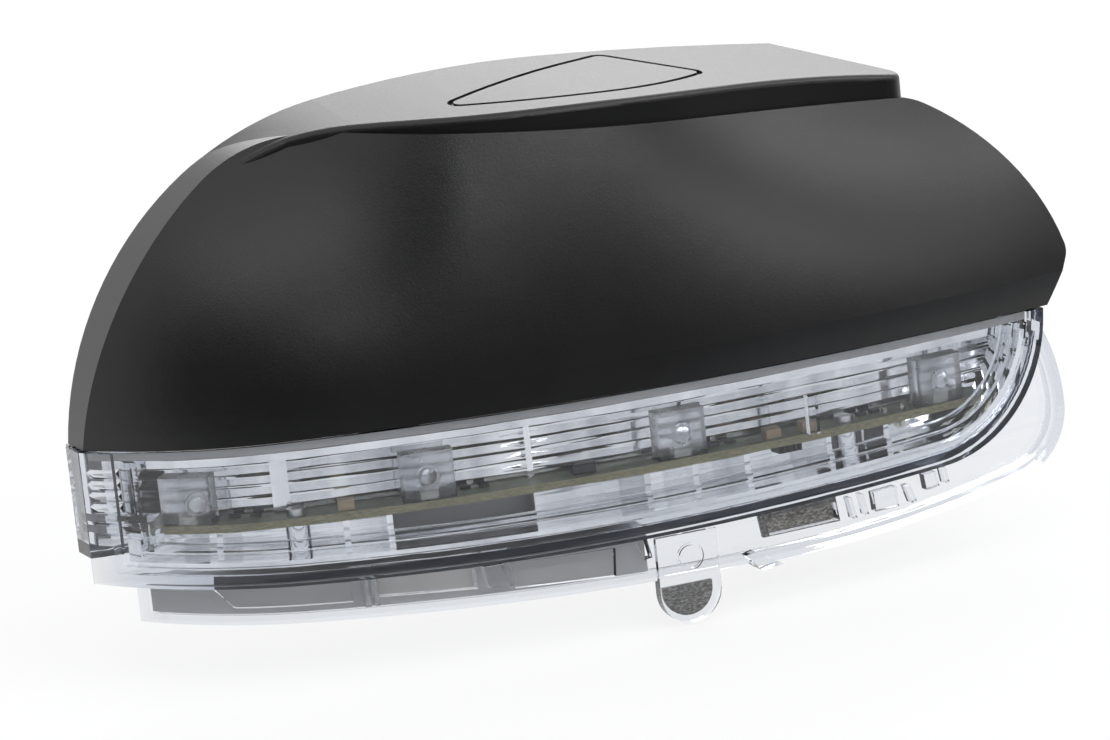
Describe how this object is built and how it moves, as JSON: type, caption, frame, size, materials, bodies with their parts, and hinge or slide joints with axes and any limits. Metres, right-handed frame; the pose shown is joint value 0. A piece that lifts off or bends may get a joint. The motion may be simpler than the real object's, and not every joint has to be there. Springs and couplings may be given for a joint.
{
  "type": "door mirror indicator light",
  "caption": "Curved door mirror indicator light: clear LED lamp with a clip flange along the lower edge of a black mirror cover.",
  "frame": {"origin": "mouth of the centre fixing tower's screw hole, on the flat rim plane of the cover", "axes": "+X along the lamp towards the end that meets the mirror's arm, +Y from the front skin back through the rim plane, +Z from the lamp towards the cover"},
  "size_m": [0.1999, 0.0564, 0.1095],
  "materials": {
    "cover": "fine grained black plastic with a soft sheen",
    "lens": "clear moulded lens plastic",
    "housing": "plain grey plastic",
    "reflector": "vacuum metallised plastic",
    "board": "glass fibre board with a pale edge",
    "optic": "frosted clear plastic",
    "led": "white package with a pale yellow window",
    "chip": "black moulded package",
    "capacitor": "tan ceramic block",
    "pin": "tinned brass",
    "seal": "soft black rubber",
    "felt": "pressed grey felt",
    "screw": "zinc plated steel"
  },
  "bodies": {
    "root": {"lower_cover": "cover", "outer_lens": "lens", "rear_housing": "housing", "reflector": "reflector", "circuit_board": "board", "light_optic_1": "optic", "light_optic_2": "optic", "light_optic_3": "optic", "light_optic_4": "optic", "led_1": "led", "led_2": "led", "led_3": "led", "led_4": "led", "driver_chip": "chip", "resistors": "chip", "capacitors": "capacitor", "diode": "chip", "terminal_pin_1": "pin", "terminal_pin_2": "pin", "socket_seal": "seal", "vent_cap": "seal", "felt_pads": "felt", "lamp_screws": "screw", "board_screws": "screw"}
  },
  "joints": []
}
